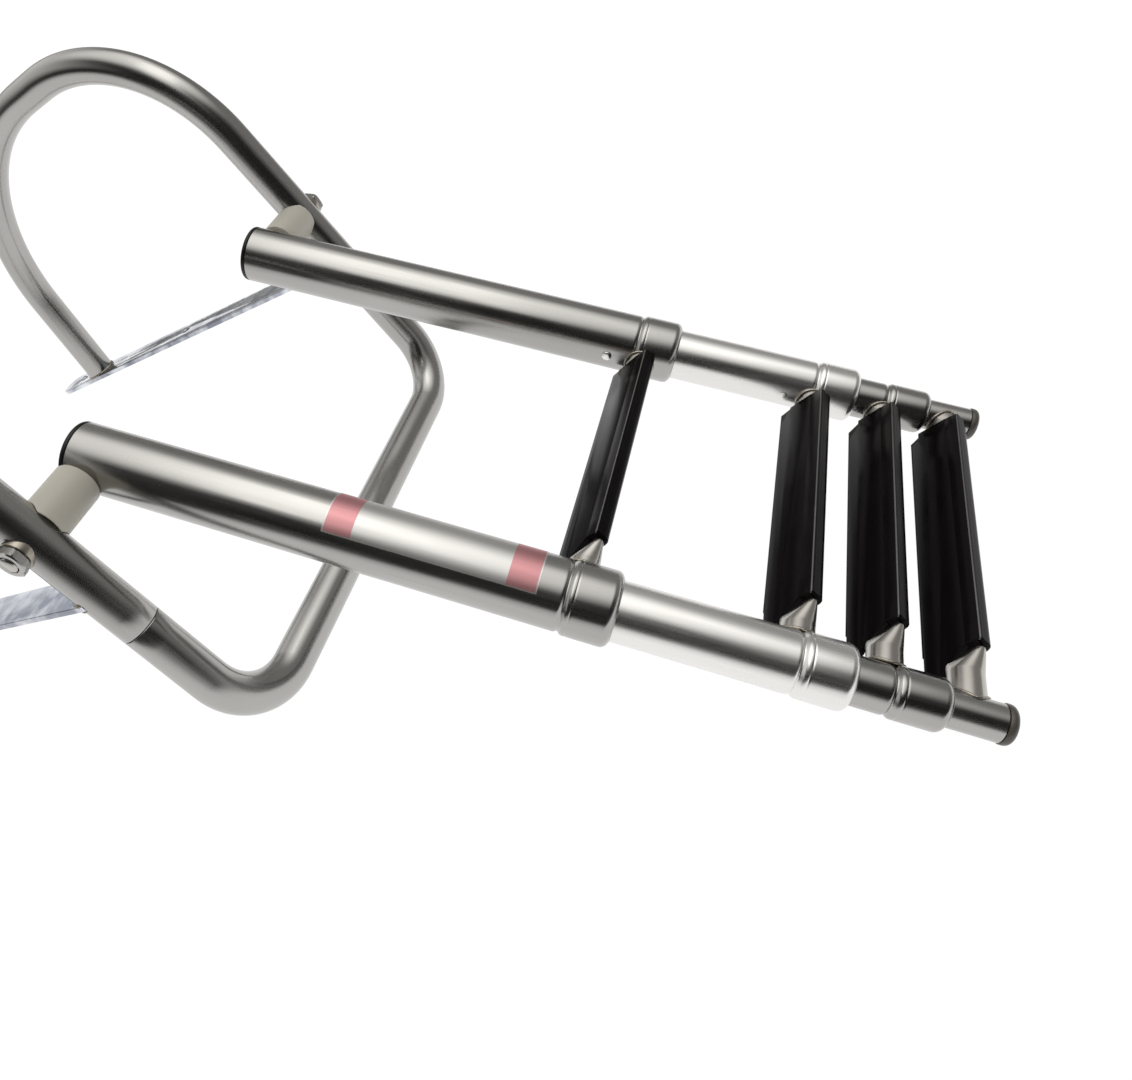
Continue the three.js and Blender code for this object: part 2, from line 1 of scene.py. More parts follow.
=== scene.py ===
"""A telescoping boat boarding ladder on its handrail frame: the looks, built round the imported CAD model.

Shapes are drawn in millimetres in two local frames and placed by a matrix into the model's frame, in metres:
LADDER has its origin at the pivot, x along the rungs, y down the rails and z off the ladder's plane;
PLATES has its origin where the leg's centre line crosses the deck plates' top, y outboard along the plates
and z off them.
"""

import json
import math

import bmesh
import bpy
from mathutils import Matrix, Vector, noise


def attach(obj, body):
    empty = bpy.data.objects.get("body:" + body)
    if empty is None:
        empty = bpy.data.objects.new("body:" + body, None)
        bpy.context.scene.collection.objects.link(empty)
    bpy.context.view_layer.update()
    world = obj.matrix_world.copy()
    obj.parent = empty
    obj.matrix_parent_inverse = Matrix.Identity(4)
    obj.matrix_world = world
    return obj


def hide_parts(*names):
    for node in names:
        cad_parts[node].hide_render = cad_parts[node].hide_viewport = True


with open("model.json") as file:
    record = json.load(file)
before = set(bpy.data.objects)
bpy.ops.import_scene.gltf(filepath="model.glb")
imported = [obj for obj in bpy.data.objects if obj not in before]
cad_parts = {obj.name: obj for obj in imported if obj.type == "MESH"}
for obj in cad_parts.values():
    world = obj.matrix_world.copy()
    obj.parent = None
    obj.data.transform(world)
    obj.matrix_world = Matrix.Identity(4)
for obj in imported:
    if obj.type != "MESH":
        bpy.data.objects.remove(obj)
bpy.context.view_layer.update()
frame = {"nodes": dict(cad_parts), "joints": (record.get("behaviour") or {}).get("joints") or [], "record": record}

# ------------------------------------------------------------------ dimensions, in millimetres
TUBE_R = 12.7
TUBE_WALL = 1.5
HALF_TRACK = 170
LEG_TILT = 8
PIVOT_UP_LEG = 42
CROSS_BAR_DOWN_LEG = 168
CORNER_R = 43
SEAM_DOWN_LEG = 74
SEAM_GAP = 0.4
LOOP = {
    "rise": 73, "outboard_r": 122, "outboard_bend": 82, "flat": 24, "inboard_r": 153, "inboard_bend": 84.2,
}

PLATE = {"width": 26, "thickness": 4, "overhang": 58, "hole_r": 3.6, "corner_r": 11}
PLATE_HOLES = (30, 190)

RAIL_X = 109.3
RAIL_R = (19.05, 15.9, 12.4, 9.4)
RAIL_WALL = (1.2, 1.2, 1.0, 1.2)
RAIL_TOP = (-9, 108, 151, 194)
GROOVE_AT = (269, 383, 426.5)
LAST_RAIL_END = 477
COLLAR = {"length": 26, "swell": 0.8, "groove_depth": 0.9, "shoulder_r": 4.5, "lip": 1.6}
SLIDING = 0.35

RUNG_AT = (273.5, 383, 425, 463)
RUNG_R = 8.5
RUNG_FLAT = {"half_thickness": 2.8, "half_height": 11.9, "offset": 0.6, "right": 74.5}
RUNG_LEFT = (-88, -91, -94.5, -98)
RUNG_FLARE = {"left": 4, "right": 13.5}
TREAD_LEAN = 29
TREAD = {"front": 6.4, "back": -4.5, "wall": 1.4, "top": -13.8, "bottom": 18.4, "play": 0.3}
WING_HALF = (88.3, 88.3, 88.3, 91.5)
WING_CORNER = (9.5, 9.5, 8, 2)
WING_CORNER_RISE = (6, 6, 6, 2)
WING = {"top": 10.5, "top_corner": 3}

SPACER = {"r": 13.6, "saddle": 7}
WASHER = {"r": 9.5, "thickness": 1.2, "saddle": 7}
NUT = {"across_flats": 17, "thickness": 5.5, "thread_past": 1}
BOLT_R = 5
TOP_CAP = {"rim": 3.2, "round_r": 1.4}
END_CAP = {"rim_r": 9.9, "length": 5, "round_r": 3}
LABEL = {"from": 141, "to": 255, "low_deg": 42, "high_deg": 152, "block": 15}
RIVET = {"head_r": 3.2, "head_height": 1.1, "uphill": 17}

SIDES = 72  # facets round tubes


# ------------------------------------------------------------------ local frames
def joint(name):
    return next(j for j in frame["joints"] if j["name"] == name)


def placed(origin, y_axis, z_axis):
    """A matrix from millimetres in a local frame to metres in the model's frame."""
    x_axis = y_axis.cross(z_axis)
    turn = Matrix((x_axis, y_axis, z_axis)).transposed().to_4x4()
    return Matrix.Translation(origin) @ turn @ Matrix.Scale(0.001, 4)


PIVOT = Vector(joint("ladder_pivot")["pos_m"])
DOWN_RAIL = Vector(joint("section_2_slide")["axis"]).normalized()
LADDER = placed(PIVOT, DOWN_RAIL, Vector((1, 0, 0)).cross(DOWN_RAIL))

LEG_UP = Vector((0, -math.sin(math.radians(LEG_TILT)), math.cos(math.radians(LEG_TILT))))
PLATE_NORMAL = -Vector(frame["record"]["mounts"][0]["axis"]).normalized()
PLATE_OUTBOARD = PLATE_NORMAL.cross(Vector((1, 0, 0)))
pivot_on_leg = LEG_UP * PIVOT_UP_LEG
PLATES = placed(
    PIVOT - (PLATE_OUTBOARD * pivot_on_leg.y + PLATE_NORMAL * pivot_on_leg.z) * 0.001,
    PLATE_OUTBOARD, PLATE_NORMAL
)


# ------------------------------------------------------------------ materials
def new_material(name):
    material = bpy.data.materials.new(name)
    material.use_nodes = True
    nodes = material.node_tree.nodes
    return material, nodes, material.node_tree.links, nodes["Principled BSDF"]


def add(nodes, kind, **settings):
    node = nodes.new(kind)
    for key, value in settings.items():
        if key in node.inputs.keys():
            node.inputs[key].default_value = value
        else:
            setattr(node, key, value)
    return node


def stretched_noise(nodes, links, scale_xyz, scale, detail=4.0, coordinates="UV"):
    """Noise in a piece's own coordinates, stretched by a scale along each."""
    place = add(nodes, "ShaderNodeTexCoord")
    mapping = add(nodes, "ShaderNodeMapping", Scale=scale_xyz)
    texture = add(nodes, "ShaderNodeTexNoise", Scale=scale, Detail=detail)
    links.new(place.outputs[coordinates], mapping.inputs["Vector"])
    links.new(mapping.outputs["Vector"], texture.inputs["Vector"])
    return texture.outputs["Fac"]


def remapped(nodes, links, value, low, high, from_low=0.3, from_high=0.7):
    node = add(nodes, "ShaderNodeMapRange")
    node.inputs["From Min"].default_value = from_low
    node.inputs["From Max"].default_value = from_high
    node.inputs["To Min"].default_value = low
    node.inputs["To Max"].default_value = high
    links.new(value, node.inputs["Value"])
    return node.outputs["Result"]


def mixed_colour(nodes, links, factor, first, second):
    node = add(nodes, "ShaderNodeMix", data_type="RGBA")
    for colour in (i for i in node.inputs if i.type == "RGBA"):
        colour.default_value = (*(first if colour.name == "A" else second), 1)
    links.new(factor, node.inputs["Factor"])
    return next(o for o in node.outputs if o.type == "RGBA")


def bumped(nodes, links, shader, height, strength, distance=0.0002):
    bump = add(nodes, "ShaderNodeBump", Strength=strength, Distance=distance)
    links.new(height, bump.inputs["Height"])
    links.new(bump.outputs["Normal"], shader.inputs["Normal"])
    return bump


def make_steel(name, bright, dull, smooth, rough, grain_strength):
    """Polished stainless: grain lines round the tube, faint smears along it, and a slow change of tone."""
    material, nodes, links, shader = new_material(name)
    shader.inputs["Metallic"].default_value = 1.0
    tone = stretched_noise(nodes, links, (18, 7, 1), 1.0, 3.0)
    links.new(mixed_colour(nodes, links, tone, dull, bright), shader.inputs["Base Color"])
    smear = stretched_noise(nodes, links, (240, 12, 1), 1.0, 5.0)
    links.new(remapped(nodes, links, smear, smooth, rough), shader.inputs["Roughness"])
    grain = stretched_noise(nodes, links, (30, 2600, 1), 1.0, 2.0)
    bumped(nodes, links, shader, grain, grain_strength, 0.00005)
    return material


def make_painted_reflection_steel(name, bright, dull, smooth, rough):
    """Flat bar polished to a mirror, with its surroundings' reflections painted into the base colour as light and
    dark patches, and fine handling marks.
    """
    material, nodes, links, shader = new_material(name)
    shader.inputs["Metallic"].default_value = 1.0
    # Painted reflections: large light and dark patches in the base colour.
    painted_reflections = stretched_noise(nodes, links, (1, 1, 1), 48.0, 3.0, "Object")
    painted_reflections = remapped(nodes, links, painted_reflections, 0.0, 1.0, 0.36, 0.64)
    links.new(mixed_colour(nodes, links, painted_reflections, dull, bright), shader.inputs["Base Color"])
    marks = stretched_noise(nodes, links, (1, 1, 1), 300.0, 5.0, "Object")
    links.new(remapped(nodes, links, marks, smooth, rough), shader.inputs["Roughness"])
    waves = stretched_noise(nodes, links, (1, 1, 1), 60.0, 2.0, "Object")
    bumped(nodes, links, shader, waves, 0.5, 0.0006)
    return material


def make_plastic(name, low, high, smooth, rough, pebble_scale, pebble_strength, specular=0.5):
    """Moulded plastic: a slow change of tone and gloss, with a fine pebble."""
    material, nodes, links, shader = new_material(name)
    tone = stretched_noise(nodes, links, (1, 1, 1), 14.0, 3.0, "Object")
    links.new(mixed_colour(nodes, links, tone, low, high), shader.inputs["Base Color"])
    gloss = stretched_noise(nodes, links, (1, 1, 1), 45.0, 4.0, "Object")
    links.new(remapped(nodes, links, gloss, smooth, rough), shader.inputs["Roughness"])
    shader.inputs["Specular IOR Level"].default_value = specular
    pebble = stretched_noise(nodes, links, (1, 1, 1), pebble_scale, 2.0, "Object")
    bumped(nodes, links, shader, pebble, pebble_strength, 0.0001)
    return material


STEEL = make_steel("polished_steel", (0.475, 0.467, 0.452), (0.335, 0.329, 0.316), 0.19, 0.3, 0.12)
# A much lighter copy of the polished steel, as a painted highlight: the second section's rails and the rivets take
# it.
PAINTED_HIGHLIGHT_STEEL = make_steel("painted_highlight_steel", (0.86, 0.85, 0.83), (0.74, 0.73, 0.71), 0.24, 0.36, 0.14)
RUNG_STEEL = make_steel("rung_steel", (0.56, 0.54, 0.51), (0.42, 0.4, 0.37), 0.22, 0.34, 0.14)
# The deck plates' mirror steel, with painted reflections.
MIRROR = make_painted_reflection_steel("mirror_steel", (0.74, 0.76, 0.8), (0.24, 0.255, 0.305), 0.05, 0.2)
WELD = make_steel("weld_steel", (0.5, 0.47, 0.415), (0.25, 0.22, 0.18), 0.24, 0.42, 0.3)
FILM = make_steel("label_film", (0.66, 0.655, 0.64), (0.58, 0.57, 0.55), 0.36, 0.46, 0.1)
RED_FILM = make_steel("label_red", (0.64, 0.36, 0.37), (0.56, 0.24, 0.26), 0.42, 0.52, 0.1)
# A lighter, glossier copy of the black plastic: a painted highlight for the treads' ridges.
PAINTED_HIGHLIGHT_PLASTIC = make_plastic("painted_highlight_plastic", (0.03, 0.028, 0.028), (0.14, 0.135, 0.13), 0.14, 0.3, 900, 0.06, 1.0)
BLACK = make_plastic(
    "black_plastic", (0.003, 0.0028, 0.003), (0.007, 0.005, 0.006), 0.16, 0.26, 900, 0.04, 0.06)
CAP = make_plastic("cap_plastic", (0.045, 0.038, 0.031), (0.13, 0.115, 0.098), 0.24, 0.38, 1400, 0.12)
LID = make_plastic("lid_plastic", (0.004, 0.004, 0.004), (0.01, 0.01, 0.01), 0.3, 0.42, 1400, 0.15, 0.3)
NYLON = make_plastic("nylon", (0.47, 0.445, 0.38), (0.58, 0.56, 0.49), 0.38, 0.5, 1200, 0.1)


# ------------------------------------------------------------------ mesh helpers
def solid(name, rings, place, material, body, replaces=(), crease=32, ends="fan"):
    """A closed skin through rings of equally many points.

    Its ends are each closed by a fan, or by a strip across a thin ring, or are joined round a bore."""
    count = len(rings[0])
    points = [Vector(p) for ring in rings for p in ring]
    along, lengths = 0.0, []
    for k, ring in enumerate(rings):
        if k:
            along += max((Vector(a) - Vector(b)).length for a, b in zip(ring, rings[k - 1]))
        lengths.append(along * 0.001)
    mesh = bpy.data.meshes.new(name)
    edit = bmesh.new()
    verts = [edit.verts.new(place @ p) for p in points]
    uv = edit.loops.layers.uv.new("UVMap")
    around = [sum((Vector(ring[(i + 1) % count]) - Vector(ring[i])).length for i in range(count))
              for ring in rings]
    girth = 0.001 * max(around)
    for k in range(len(rings) - 1):
        for i in range(count):
            j = (i + 1) % count
            face = edit.faces.new((verts[k * count + i], verts[k * count + j], verts[(k + 1) * count + j],
                                   verts[(k + 1) * count + i]))
            corners = ((i, k), (i + 1, k), (i + 1, k + 1), (i, k + 1))
            for loop, (u, v) in zip(face.loops, corners):
                loop[uv].uv = (u / count * girth, lengths[v])
    if ends == "bore":
        bore = (verts[-count:], verts[:count])
        for i in range(count):
            j = (i + 1) % count
            face = edit.faces.new((bore[0][i], bore[0][j], bore[1][j], bore[1][i]))
            for loop, (u, v) in zip(face.loops, ((i, 1), (i + 1, 1), (i + 1, 0), (i, 0))):
                loop[uv].uv = (u / count * girth, v * lengths[-1])
    for k in (0, len(rings) - 1) if ends == "strip" else ():
        ring = verts[k * count:(k + 1) * count]
        for i in range(count // 2 - 1):
            edit.faces.new((ring[i], ring[i + 1], ring[count - 2 - i], ring[count - 1 - i]))
    for k in (0, len(rings) - 1) if ends == "fan" else ():
        ring = verts[k * count:(k + 1) * count]
        centre = edit.verts.new(sum((v.co for v in ring), Vector()) / count)
        for i in range(count):
            pair = (ring[i], ring[(i + 1) % count])
            face = edit.faces.new((centre, *pair) if k else (centre, *reversed(pair)))
            for loop in face.loops:
                loop[uv].uv = ((loop.vert.co.x + loop.vert.co.y), loop.vert.co.z)
    return finished(name, mesh, edit, material, body, replaces, crease)


def finished(name, mesh, edit, material, body, replaces=(), crease=32):
    """Writes an edit mesh to an object that rides on a body, smooth but for its creases."""
    bmesh.ops.remove_doubles(edit, verts=edit.verts, dist=1e-7)
    bmesh.ops.recalc_face_normals(edit, faces=edit.faces)
    for face in edit.faces:
        face.smooth = True
    for edge in edit.edges:
        if len(edge.link_faces) == 2 and edge.calc_face_angle() > math.radians(crease):
            edge.smooth = False
    edit.to_mesh(mesh)
    edit.free()
    mesh.materials.append(material)
    piece = bpy.data.objects.new(name, mesh)
    bpy.context.scene.collection.objects.link(piece)
    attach(piece, body)
    if replaces:
        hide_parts(*replaces)
    return piece


def circle(radius, axis_x=0.0, sides=SIDES, y=0.0):
    """A ring round the Y axis."""
    return [
        (axis_x + radius * math.cos(2 * math.pi * i / sides), y, radius * math.sin(2 * math.pi * i / sides))
        for i in range(sides)
    ]


def turned(profile, axis_x=0.0, sides=SIDES):
    """Rings of [radius, along] pairs, round the Y axis at x = axis_x."""
    return [circle(max(r, 0.02), axis_x, sides, along) for r, along in profile]


def arc(centre_r, centre_along, radius, start, end, steps=8):
    angles = [math.radians(start + (end - start) * i / steps) for i in range(steps + 1)]
    return [(centre_r + radius * math.cos(a), centre_along + radius * math.sin(a)) for a in angles]


def smoothstep(low, high, value):
    t = min(1, max(0, (value - low) / (high - low)))
    return t * t * (3 - 2 * t)


def mirrored(rings):
    return [[(-x, y, z) for x, y, z in ring] for ring in rings]


def sided(rings, side):
    return rings if side == "right" else mirrored(rings)


# ------------------------------------------------------------------ bent tubes
def bent_route(start, heading, moves, step=2.0):
    """Stations ((u, v), heading in radians) along a tube bender's route in one plane."""
    u, v = start
    h = math.radians(heading)
    stations = [((u, v), h)]
    for kind, *size in moves:
        if kind == "straight":
            pieces = max(1, round(size[0] / 12))
            for _ in range(pieces):
                u += size[0] / pieces * math.cos(h)
                v += size[0] / pieces * math.sin(h)
                stations.append(((u, v), h))
        else:
            radius, bend = size
            sign = math.copysign(1, bend)
            cu, cv = u - sign * radius * math.sin(h), v + sign * radius * math.cos(h)
            pieces = max(1, round(abs(bend) / step))
            for _ in range(pieces):
                h += math.radians(bend) / pieces
                u, v = cu + sign * radius * math.sin(h), cv - sign * radius * math.cos(h)
                stations.append(((u, v), h))
    return stations


def tube_rings(stations, to_space, out_of_plane, radius):
    """Rings round a planar route. to_space turns (u, v) into a point, out_of_plane is the plane's normal."""
    rings = []
    for (u, v), h in stations:
        centre = to_space(u, v)
        across = (to_space(u - math.sin(h), v + math.cos(h)) - centre).normalized()
        rings.append([
            tuple(centre + radius * (math.cos(a) * across + math.sin(a) * out_of_plane))
            for a in (2 * math.pi * i / SIDES for i in range(SIDES))
        ])
    return rings


def open_end(rings, depth=14, round_off=0.35):
    """Adds a tube's wall, a small rounding and a bore at the first ring."""
    first, second = rings[0], rings[1]
    centre = sum((Vector(p) for p in first), Vector()) / len(first)
    along = (sum((Vector(p) for p in second), Vector()) / len(second) - centre).normalized()

    def ring(radius, forward):
        return [tuple(centre + (Vector(p) - centre).normalized() * radius + along * forward) for p in first]

    inner = TUBE_R - TUBE_WALL
    edge = [ring(TUBE_R - round_off, 0), ring(TUBE_R - 0.1, round_off * 0.45), ring(TUBE_R, round_off)]
    return [ring(inner, depth), ring(inner, 0)] + edge + rings[1:]


side_view = lambda x: (lambda u, v: Vector((x, u, v)))
leg_point = lambda down: LEG_UP * (PIVOT_UP_LEG - down)
seam = leg_point(SEAM_DOWN_LEG - SEAM_GAP / 2)
loop_moves = [
    ("straight", SEAM_DOWN_LEG - SEAM_GAP / 2 + LOOP["rise"]),
    ("bend", LOOP["outboard_r"], LOOP["outboard_bend"]),
    ("straight", LOOP["flat"]),
    ("bend", LOOP["inboard_r"], LOOP["inboard_bend"]),
]
loop_end, foot_heading = bent_route((seam.y, seam.z), 90 + LEG_TILT, loop_moves)[-1]
riser = loop_end[1] / -math.sin(foot_heading)
FOOT_Y = loop_end[0] + riser * math.cos(foot_heading)
PLATE_START = FOOT_Y - PLATE["overhang"]


def build_handrail(side):
    x = HALF_TRACK if side == "right" else -HALF_TRACK
    stations = bent_route((seam.y, seam.z), 90 + LEG_TILT, loop_moves + [("straight", riser)])
    rings = tube_rings(stations, side_view(x), Vector((1, 0, 0)), TUBE_R)
    along = Vector((0, math.cos(foot_heading), math.sin(foot_heading)))
    mitred = [tuple(Vector(p) - along * ((p[2] - 0.05) / along.z)) for p in rings[-1]]
    rings = open_end(rings[:-3] + [mitred])
    solid(f"handrail_tube_{side}", rings, PLATES, STEEL, "frame", [f"handrail_{side}"])


def build_lower_tube():
    straight = CROSS_BAR_DOWN_LEG - CORNER_R - SEAM_DOWN_LEG - SEAM_GAP / 2
    moves = [
        ("straight", straight), ("bend", CORNER_R, -90), ("straight", 2 * (HALF_TRACK - CORNER_R)),
        ("bend", CORNER_R, -90), ("straight", straight),
    ]
    stations = bent_route((SEAM_DOWN_LEG + SEAM_GAP / 2, HALF_TRACK), 0, moves)
    to_space = lambda down, across: leg_point(down) + Vector((across, 0, 0))
    normal = Vector((1, 0, 0)).cross(LEG_UP)
    rings = open_end(tube_rings(stations, to_space, normal, TUBE_R))
    rings = open_end(rings[::-1])
    solid("lower_tube", rings, PLATES, STEEL, "frame", ["lower_u_tube"])


def weld_bead(name, path, radius, body, place, ripples=None, seed=0.0, closed=True):
    """A rippled bead along a loop of points, or along an open run that tapers at its ends."""
    count = len(path)
    rings = []
    middle = sum(path, Vector()) / count
    for k, point in enumerate(path):
        before, after = (k - 1, (k + 1) % count) if closed else (max(k - 1, 0), min(k + 1, count - 1))
        tangent = (path[after] - path[before]).normalized()
        outward = (point - middle) - tangent * tangent.dot(point - middle)
        outward.normalize()
        upward = tangent.cross(outward)
        wave = 1 + 0.13 * math.cos(2 * math.pi * k * (ripples or count // 3) / count)
        wave += 0.12 * noise.noise(point * 0.35 + Vector((seed, 0, 0)))
        if not closed:
            wave *= 0.25 + 0.75 * smoothstep(0, 3, min(k, count - 1 - k))
        rings.append([
            tuple(point + radius * wave * (math.cos(a) * outward + math.sin(a) * upward))
            for a in (2 * math.pi * i / 10 for i in range(10))
        ])
    edit = bmesh.new()
    uv = edit.loops.layers.uv.new("UVMap")
    verts = [[edit.verts.new(place @ Vector(p)) for p in ring] for ring in rings]
    for k in range(count if closed else count - 1):
        for i in range(10):
            j, m = (i + 1) % 10, (k + 1) % count
            face = edit.faces.new((verts[k][i], verts[k][j], verts[m][j], verts[m][i]))
            for loop, (a, b) in zip(face.loops, ((i, k), (i + 1, k), (i + 1, k + 1), (i, k + 1))):
                loop[uv].uv = (a * 0.0006, b * 0.0008)
    if not closed:
        edit.faces.new(verts[0])
        edit.faces.new(verts[-1])
    finished(name, bpy.data.meshes.new(name), edit, WELD, body, crease=60)


def tube_on_plate(centre_y, lean, z, radius, start=0, end=360, count=96):
    """The loop, or a run of it, where a leaning tube meets a plane of the plate."""
    stretch = 1 / math.cos(lean)
    steps = count if end - start == 360 else count - 1
    return [
        Vector((radius * math.cos(a), centre_y + radius * stretch * math.sin(a), z))
        for a in (math.radians(start + (end - start) * i / steps) for i in range(count))
    ]


def build_frame_welds(side):
    """The foot is welded all round, and the leg along the half that the bar's end reaches."""
    x = HALF_TRACK if side == "right" else -HALF_TRACK
    shift = Vector((x, 0, 0))
    lean, under_z = math.radians(LEG_TILT), -PLATE["thickness"]
    foot_lean = 1.5 * math.pi - foot_heading
    foot = [p + shift for p in tube_on_plate(FOOT_Y, foot_lean, 0.3, TUBE_R + 0.2)]
    leg = [p + shift for p in tube_on_plate(0, lean, 0.3, TUBE_R + 0.25, 184, 356, 48)]
    under = leg_point(PIVOT_UP_LEG - under_z / math.cos(lean))
    below = [p + shift for p in tube_on_plate(under.y, lean, under_z - 0.2, TUBE_R + 0.2, 184, 356, 48)]
    weld_bead(f"weld_foot_{side}", foot, 1.25, "frame", PLATES, 34, x)
    weld_bead(f"weld_leg_{side}", leg, 1.25, "frame", PLATES, 17, x + 40, closed=False)
    weld_bead(f"weld_leg_under_{side}", below, 0.9, "frame", PLATES, 17, x + 80, closed=False)


# ------------------------------------------------------------------ deck plates
def build_plate(side):
    """A flat bar with a rounded inboard end, rounded edges and drilled holes."""
    half, corner, thick = PLATE["width"] / 2, PLATE["corner_r"], PLATE["thickness"]
    bevel = 0.7
    name = f"plate_{side}"
    curve = bpy.data.curves.new(name, "CURVE")
    curve.dimensions, curve.fill_mode = "2D", "BOTH"
    curve.extrude, curve.bevel_depth, curve.bevel_resolution = thick / 2 - bevel, bevel, 3

    def outline(points):
        line = curve.splines.new("POLY")
        line.points.add(len(points) - 1)
        for target, (px, py) in zip(line.points, points):
            target.co = (px, py, 0, 1)
        line.use_cyclic_u = True

    def arc_points(cx, cy, radius, start, end, steps):
        angles = [math.radians(start + (end - start) * i / steps) for i in range(steps + 1)]
        return [(cx + radius * math.cos(a), cy + radius * math.sin(a)) for a in angles]

    edge = half - bevel
    first = PLATE_START + bevel
    turn = corner - bevel
    outer = [(edge, -bevel), (-edge, -bevel)]
    outer += arc_points(-edge + turn, first + turn, turn, 180, 270, 12)
    outer += arc_points(edge - turn, first + turn, turn, 270, 360, 12)
    outline(outer)
    for hole in PLATE_HOLES:
        outline(arc_points(0, PLATE_START + hole, PLATE["hole_r"] + bevel, 0, 352.5, 47))
    piece = bpy.data.objects.new(name, curve)
    bpy.context.scene.collection.objects.link(piece)
    bpy.context.view_layer.update()
    mesh = bpy.data.meshes.new_from_object(piece.evaluated_get(bpy.context.evaluated_depsgraph_get()))
    bpy.data.objects.remove(piece)
    x = HALF_TRACK if side == "right" else -HALF_TRACK
    edit = bmesh.new()
    edit.from_mesh(mesh)
    bmesh.ops.remove_doubles(edit, verts=edit.verts, dist=1e-4)
    uv = edit.loops.layers.uv.new("UVMap")
    for face in edit.faces:
        for loop in face.loops:
            co = loop.vert.co
            loop[uv].uv = ((co.x + co.z) * 0.001, co.y * 0.001)
    for vert in edit.verts:
        vert.co = PLATES @ (vert.co + Vector((x, 0, -thick / 2)))
    mesh = bpy.data.meshes.new(name + "_mesh")
    finished(name, mesh, edit, MIRROR, "frame", [f"deck_plate_{side}"])


# ------------------------------------------------------------------ ladder rails
def rail_profile(n):
    outer, inner = RAIL_R[n], RAIL_R[n] - RAIL_WALL[n]
    top = RAIL_TOP[n]
    profile = [(inner, top + 0.2), (outer - 0.3, top), (outer, top + 0.3)]
    if n == 3:
        profile += [(outer, y) for y in range(int(top) + 10, int(LAST_RAIL_END), 20)]
        profile += [(outer, LAST_RAIL_END - 0.3), (outer - 0.3, LAST_RAIL_END), (inner, LAST_RAIL_END - 0.2)]
        return profile
    groove = GROOVE_AT[n]
    end = groove + COLLAR["length"]
    swollen = outer + COLLAR["swell"]
    profile += [(outer, y) for y in range(int(top) + 10, int(groove) - 8, 20)]
    for i in range(45):
        t = -4.5 + 10.0 * i / 44
        dip = COLLAR["groove_depth"] * math.exp(-((t / 1.15) ** 2))
        line = 0.2 * math.exp(-(((t - 4.3) / 0.4) ** 2))
        profile.append((outer - dip - line + COLLAR["swell"] * smoothstep(-0.4, 3.2, t), groove + t))
    radius = COLLAR["shoulder_r"]
    profile += arc(swollen - radius, end - radius, radius, 0, 74, 12)
    throat = RAIL_R[n + 1] + SLIDING
    last_r = min(profile[-1][0] - 0.1, throat + 0.25)
    lip = end - COLLAR["lip"]
    return profile + [(last_r, end), (throat, end - 0.35), (throat, lip), (inner, lip)]


def build_rails(n):
    body = f"section_{n + 1}"
    for side in ("right", "left"):
        rings = sided(turned(rail_profile(n), RAIL_X), side)
        # The second section takes the lighter steel, a painted highlight for its wide bright band.
        skin = PAINTED_HIGHLIGHT_STEEL if n == 1 else STEEL
        name, twin = f"tube_{n + 1}_{side}", f"rail_{n + 1}_{side}"
        solid(name, rings, LADDER, skin, body, [twin], 40, "bore")


# ------------------------------------------------------------------ rungs and treads
LEAN = math.radians(TREAD_LEAN)
FACE_DOWN = Vector((0, -math.sin(LEAN), -math.cos(LEAN)))
FACE_OUT = Vector((0, -math.cos(LEAN), math.sin(LEAN)))


def on_face(x, s, n, rung):
    """A point s down the step's face and n off it, at a rung."""
    return Vector((x, RUNG_AT[rung], 0)) + FACE_DOWN * s + FACE_OUT * n


def rung_ring(x, rung, inset=0.0, sides=SIDES):
    past = max((RUNG_LEFT[rung] - x) / RUNG_FLARE["left"], (x - RUNG_FLAT["right"]) / RUNG_FLARE["right"])
    flare = min(max(past, 0.0), 1.0)
    flat = 1 - 0.65 * flare - 0.35 * smoothstep(0, 1, flare)
    thick = RUNG_R + (RUNG_FLAT["half_thickness"] - RUNG_R) * flat - inset
    straight = (RUNG_FLAT["half_height"] - RUNG_FLAT["half_thickness"]) * flat
    ring = []
    for i in range(sides):
        a = 2 * math.pi * (i + 0.5) / sides
        s = thick * math.sin(a) + math.copysign(straight, math.sin(a)) + RUNG_FLAT["offset"] * flat
        ring.append(on_face(x, s, thick * math.cos(a), rung))
    return ring


def coped(ring, reach, side):
    """A ring moved along x to lie on a rail's surface."""
    out = []
    for p in ring:
        x = RAIL_X - math.sqrt(max(reach * reach - p.z * p.z, 0.1))
        out.append(Vector((side * x, p.y, p.z)))
    return out


def build_rung(n):
    reach = RAIL_R[n] + (COLLAR["swell"] if n < 3 else 0)
    body = f"section_{n + 1}"
    end = RAIL_X - reach - 2.2
    left, right = RUNG_LEFT[n], RUNG_FLAT["right"]
    xs = [left - RUNG_FLARE["left"] * i / 6 for i in range(6, 0, -1)]
    xs += [left, left + 4, -40, 0, 40, right - 4]
    xs += [right + RUNG_FLARE["right"] * i / 12 for i in range(13)]
    rings = [coped(rung_ring(-RAIL_X, n), reach - 0.4, -1)]
    rings += [rung_ring(x, n) for x in xs if abs(x) < end] + [coped(rung_ring(RAIL_X, n), reach - 0.4, 1)]
    rings = [[tuple(p) for p in ring] for ring in rings]
    solid(f"rung_tube_{n + 1}", rings, LADDER, RUNG_STEEL, body, [f"rung_{n + 1}"], 50)
    for side, sign in (("right", 1), ("left", -1)):
        path = coped(rung_ring(sign * RAIL_X, n, -0.35, 84), reach + 0.3, sign)
        weld_bead(f"weld_rung_{n + 1}_{side}", path, 0.8, body, LADDER, 28, n * 7.0 + sign)


